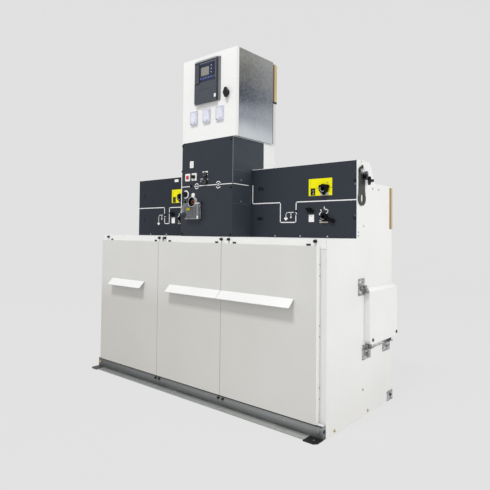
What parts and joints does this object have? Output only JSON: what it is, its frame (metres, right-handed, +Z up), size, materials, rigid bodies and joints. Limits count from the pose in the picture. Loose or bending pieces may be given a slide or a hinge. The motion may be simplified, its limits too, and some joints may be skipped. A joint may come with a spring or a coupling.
{
  "type": "ring main unit",
  "caption": "Floor-standing ring main unit with lift-off cable covers, dark switch fascias, a breaker tower and a relay cabinet on top.",
  "frame": {"origin": "on the floor at the centre of the four anchor holes", "axes": "+Z up, +X to the right when facing the covers, -Y out of the front"},
  "size_m": [1.7051, 0.7523, 1.868],
  "materials": {
    "white_paint": "satin powder coat",
    "pale_paint": "satin powder coat",
    "dark_paint": "fine-texture powder coat",
    "galvanised": "galvanised sheet",
    "tank_steel": "welded stainless sheet",
    "black_paint": "satin black",
    "bolt_brass": "yellow zinc plate",
    "copper": "bare copper",
    "epoxy": "cast epoxy",
    "black_plastic": "moulded",
    "white_plastic": "moulded",
    "red_plastic": "moulded",
    "blue_plastic": "moulded",
    "relay_plastic": "moulded",
    "clear_plastic": "clear polycarbonate",
    "lock_steel": "turned",
    "lever_steel": "plated",
    "terminal_plastic": "moulded",
    "timber": "planed softwood"
  },
  "bodies": {
    "frame": {"front_base_rail": "galvanised", "rail_feet": "black_paint", "rear_base_rail": "galvanised", "left_side_panel": "white_paint", "right_side_panel": "white_paint", "rear_panel": "white_paint", "deck": "white_paint", "gas_tank": "tank_steel", "cable_bushings": "epoxy", "cable_rail": "galvanised", "earth_bar": "copper", "mechanism_frames": "galvanised", "cover_screws": "black_paint", "panel_bolts": "bolt_brass", "left_fascia": "dark_paint", "right_fascia": "dark_paint", "left_roof": "white_paint", "right_roof": "white_paint", "tower_fascia": "dark_paint", "tower_cheek": "dark_paint", "tower_shell": "white_paint", "button_bezels": "white_plastic", "relay_cabinet": "galvanised", "door_hinges": "galvanised", "terminal_rail": "terminal_plastic", "busbar_end_cover": "white_paint", "busbar_clamps": "galvanised", "timber_strips": "timber"},
    "left_cover": {"left_cover": "pale_paint"},
    "middle_cover": {"middle_cover": "pale_paint"},
    "right_cover": {"right_cover": "pale_paint"},
    "cabinet_door": {"cabinet_door": "white_paint", "protection_relay": "relay_plastic", "fuse_bases": "white_plastic"},
    "door_latch": {"door_latch": "black_plastic"},
    "relay_flap": {"relay_flap": "relay_plastic"},
    "relay_key_1": {"relay_key_1": "blue_plastic"},
    "relay_key_2": {"relay_key_2": "blue_plastic"},
    "relay_key_3": {"relay_key_3": "blue_plastic"},
    "relay_key_4": {"relay_key_4": "blue_plastic"},
    "relay_key_5": {"relay_key_5": "blue_plastic"},
    "fuse_carrier_1": {"fuse_carrier_1": "white_plastic"},
    "fuse_carrier_2": {"fuse_carrier_2": "white_plastic"},
    "fuse_carrier_3": {"fuse_carrier_3": "white_plastic"},
    "trip_button": {"trip_button": "red_plastic"},
    "close_button": {"close_button": "black_plastic"},
    "upper_key_lock": {"upper_key_lock": "lock_steel"},
    "lower_key_lock": {"lower_key_lock": "lock_steel"},
    "breaker_selector": {"breaker_selector": "black_plastic"},
    "charging_socket": {"charging_socket": "copper"},
    "breaker_shield": {"breaker_shield": "clear_plastic"},
    "left_main_switch": {"left_main_switch": "black_plastic"},
    "left_earth_switch": {"left_earth_switch": "black_plastic"},
    "left_selector": {"left_selector": "black_plastic"},
    "left_indicator": {"left_indicator": "white_plastic"},
    "right_main_switch": {"right_main_switch": "black_plastic"},
    "right_earth_switch": {"right_earth_switch": "black_plastic"},
    "right_selector": {"right_selector": "black_plastic"},
    "right_indicator": {"right_indicator": "white_plastic"},
    "operating_lever": {"operating_lever": "lever_steel"}
  },
  "joints": [
    {"name": "left_cover_slide", "type": "slide", "parent": "frame", "child": "left_cover", "axis": [0, -1, 0], "range_m": [0, 0.3]},
    {"name": "middle_cover_slide", "type": "slide", "parent": "frame", "child": "middle_cover", "axis": [0, -1, 0], "range_m": [0, 0.3]},
    {"name": "right_cover_slide", "type": "slide", "parent": "frame", "child": "right_cover", "axis": [0, -1, 0], "range_m": [0, 0.3]},
    {"name": "cabinet_door_turn", "type": "hinge", "parent": "frame", "child": "cabinet_door", "pos_m": [-0.21, -0.176, 1.625], "axis": [0, 0, -1], "range_deg": [0, 110]},
    {"name": "door_latch_turn", "type": "hinge", "parent": "cabinet_door", "child": "door_latch", "pos_m": [0.139, -0.182, 1.6255], "axis": [0, 1, 0], "range_deg": [0, 90]},
    {"name": "relay_flap_turn", "type": "hinge", "parent": "cabinet_door", "child": "relay_flap", "pos_m": [-0.095, -0.2, 1.764], "axis": [0, 0, -1], "range_deg": [0, 100]},
    {"name": "relay_key_1_slide", "type": "slide", "parent": "cabinet_door", "child": "relay_key_1", "axis": [0, 1, 0], "range_m": [0, 0.0015], "stiffness_N_per_m": 400},
    {"name": "relay_key_2_slide", "type": "slide", "parent": "cabinet_door", "child": "relay_key_2", "axis": [0, 1, 0], "range_m": [0, 0.0015], "stiffness_N_per_m": 400},
    {"name": "relay_key_3_slide", "type": "slide", "parent": "cabinet_door", "child": "relay_key_3", "axis": [0, 1, 0], "range_m": [0, 0.0015], "stiffness_N_per_m": 400},
    {"name": "relay_key_4_slide", "type": "slide", "parent": "cabinet_door", "child": "relay_key_4", "axis": [0, 1, 0], "range_m": [0, 0.0015], "stiffness_N_per_m": 400},
    {"name": "relay_key_5_slide", "type": "slide", "parent": "cabinet_door", "child": "relay_key_5", "axis": [0, 1, 0], "range_m": [0, 0.0015], "stiffness_N_per_m": 400},
    {"name": "fuse_carrier_1_slide", "type": "slide", "parent": "cabinet_door", "child": "fuse_carrier_1", "axis": [0, -1, 0], "range_m": [0, 0.03]},
    {"name": "fuse_carrier_2_slide", "type": "slide", "parent": "cabinet_door", "child": "fuse_carrier_2", "axis": [0, -1, 0], "range_m": [0, 0.03]},
    {"name": "fuse_carrier_3_slide", "type": "slide", "parent": "cabinet_door", "child": "fuse_carrier_3", "axis": [0, -1, 0], "range_m": [0, 0.03]},
    {"name": "trip_button_slide", "type": "slide", "parent": "frame", "child": "trip_button", "axis": [0, 1, 0], "range_m": [0, 0.006], "stiffness_N_per_m": 800},
    {"name": "close_button_slide", "type": "slide", "parent": "frame", "child": "close_button", "axis": [0, 1, 0], "range_m": [0, 0.006], "stiffness_N_per_m": 800},
    {"name": "upper_key_lock_turn", "type": "hinge", "parent": "frame", "child": "upper_key_lock", "pos_m": [-0.023, -0.182, 1.189], "axis": [0, 1, 0], "range_deg": [0, 90]},
    {"name": "lower_key_lock_turn", "type": "hinge", "parent": "frame", "child": "lower_key_lock", "pos_m": [-0.023, -0.182, 1.147], "axis": [0, 1, 0], "range_deg": [0, 90]},
    {"name": "breaker_selector_turn", "type": "hinge", "parent": "frame", "child": "breaker_selector", "pos_m": [-0.185, -0.182, 1.083], "axis": [0, 1, 0], "range_deg": [0, 90]},
    {"name": "charging_socket_turn", "type": "hinge", "parent": "frame", "child": "charging_socket", "pos_m": [-0.114, -0.182, 1.037], "axis": [0, 1, 0], "range_deg": [0, 90]},
    {"name": "breaker_shield_turn", "type": "hinge", "parent": "frame", "child": "breaker_shield", "pos_m": [-0.051, -0.1955, 0.984], "axis": [0, 0, 1], "range_deg": [0, 120]},
    {"name": "left_main_switch_turn", "type": "hinge", "parent": "frame", "child": "left_main_switch", "pos_m": [-0.394, -0.025, 1.085], "axis": [0, 1, 0], "range_deg": [0, 90]},
    {"name": "left_earth_switch_turn", "type": "hinge", "parent": "frame", "child": "left_earth_switch", "pos_m": [-0.394, -0.025, 0.945], "axis": [0, 1, 0], "range_deg": [0, 90]},
    {"name": "left_selector_turn", "type": "hinge", "parent": "frame", "child": "left_selector", "pos_m": [-0.478, -0.025, 0.981], "axis": [0, 1, 0], "range_deg": [0, 90]},
    {"name": "left_indicator_turn", "type": "hinge", "parent": "frame", "child": "left_indicator", "pos_m": [-0.462, -0.016, 1.053], "axis": [0, 1, 0], "range_deg": [0, 90]},
    {"name": "right_main_switch_turn", "type": "hinge", "parent": "frame", "child": "right_main_switch", "pos_m": [0.656, -0.025, 1.085], "axis": [0, 1, 0], "range_deg": [0, 90]},
    {"name": "right_earth_switch_turn", "type": "hinge", "parent": "frame", "child": "right_earth_switch", "pos_m": [0.656, -0.025, 0.945], "axis": [0, 1, 0], "range_deg": [0, 90]},
    {"name": "right_selector_turn", "type": "hinge", "parent": "frame", "child": "right_selector", "pos_m": [0.572, -0.025, 0.981], "axis": [0, 1, 0], "range_deg": [0, 90]},
    {"name": "right_indicator_turn", "type": "hinge", "parent": "frame", "child": "right_indicator", "pos_m": [0.588, -0.016, 1.053], "axis": [0, 1, 0], "range_deg": [0, 90]},
    {"name": "operating_lever_slide", "type": "slide", "parent": "frame", "child": "operating_lever", "axis": [1, 0, 0], "range_m": [0, 0.04]}
  ],
  "couplings": [
    {"joint": "left_indicator_turn", "follows": "left_main_switch_turn", "ratio": 1},
    {"joint": "right_indicator_turn", "follows": "right_main_switch_turn", "ratio": 1}
  ]
}
